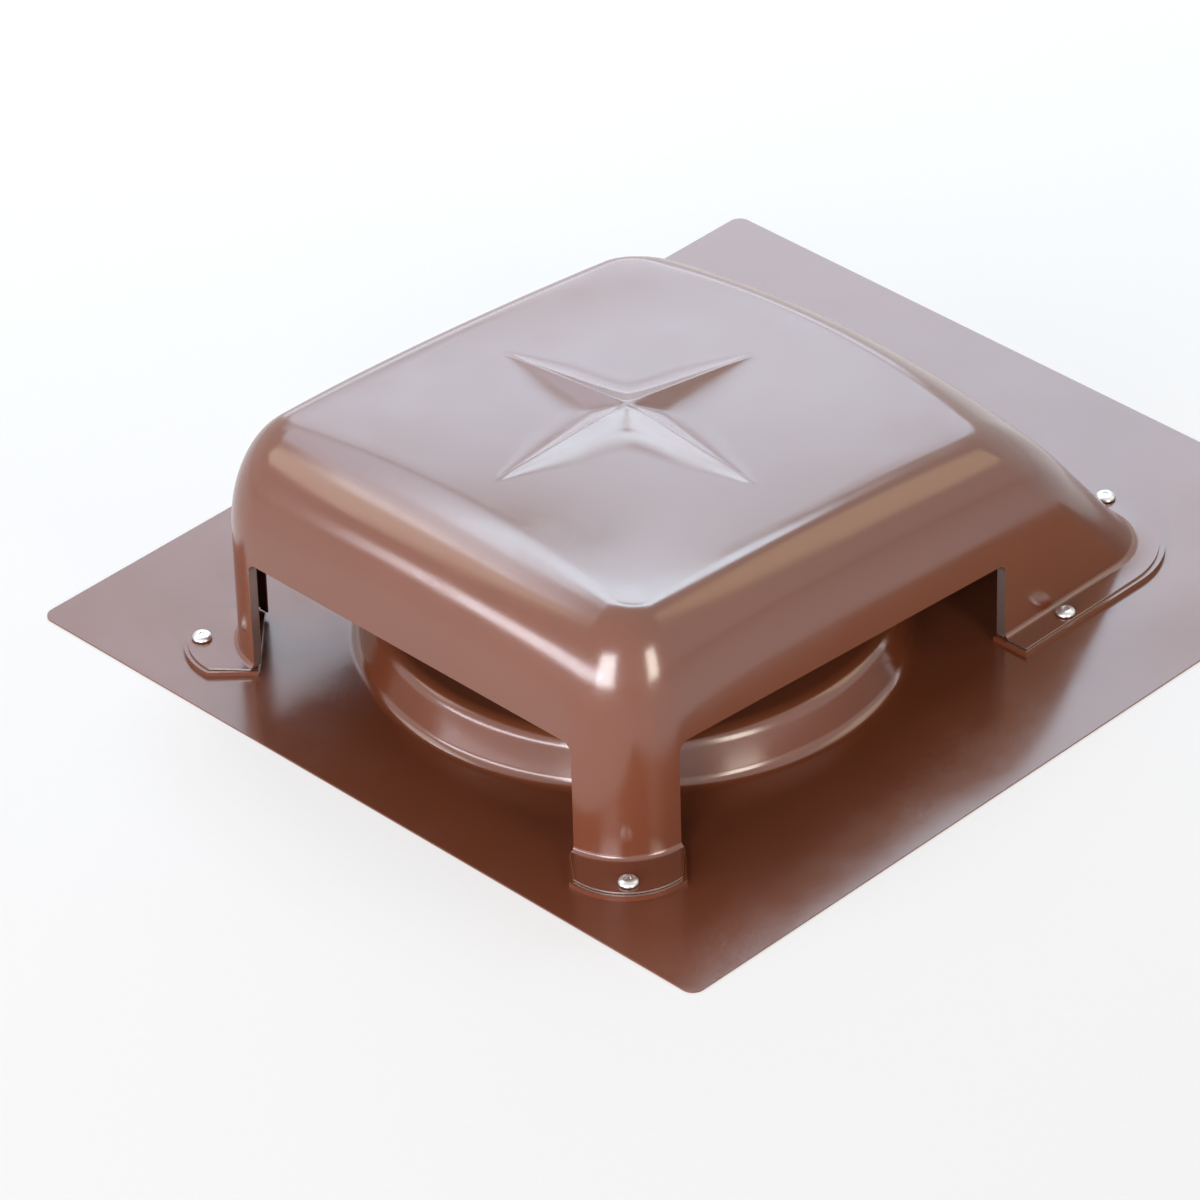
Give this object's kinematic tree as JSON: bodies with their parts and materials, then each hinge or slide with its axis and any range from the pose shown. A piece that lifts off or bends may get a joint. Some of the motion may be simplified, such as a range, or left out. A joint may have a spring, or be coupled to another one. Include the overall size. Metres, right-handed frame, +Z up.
{
  "type": "static roof vent",
  "caption": "Slant-back sheet-metal roof vent: a drawn hood with a star-pressed top stands over a round screened throat in a flat flashing, open at the front and sides.",
  "frame": {"origin": "centre of the flashing's underside", "axes": "+Z up and away from the roof, +Y up the roof slope from the open front to the slant back, +X to the right as seen from the front"},
  "size_m": [0.406, 0.457, 0.123],
  "materials": {
    "painted_sheet": "glossy brown baked enamel",
    "rivet_metal": "bare, satin",
    "screen_wire": "bare woven wire, dull"
  },
  "bodies": {
    "root": {"base_flashing": "painted_sheet", "hood": "painted_sheet", "insect_screen": "screen_wire", "foot_rivet_left": "rivet_metal", "foot_rivet_right": "rivet_metal", "back_rivet_1": "rivet_metal", "back_rivet_2": "rivet_metal", "back_rivet_3": "rivet_metal", "side_rivet_left": "rivet_metal", "side_rivet_right": "rivet_metal", "screen_rivet_1": "rivet_metal", "screen_rivet_2": "rivet_metal", "screen_rivet_3": "rivet_metal", "screen_rivet_4": "rivet_metal"}
  },
  "joints": []
}
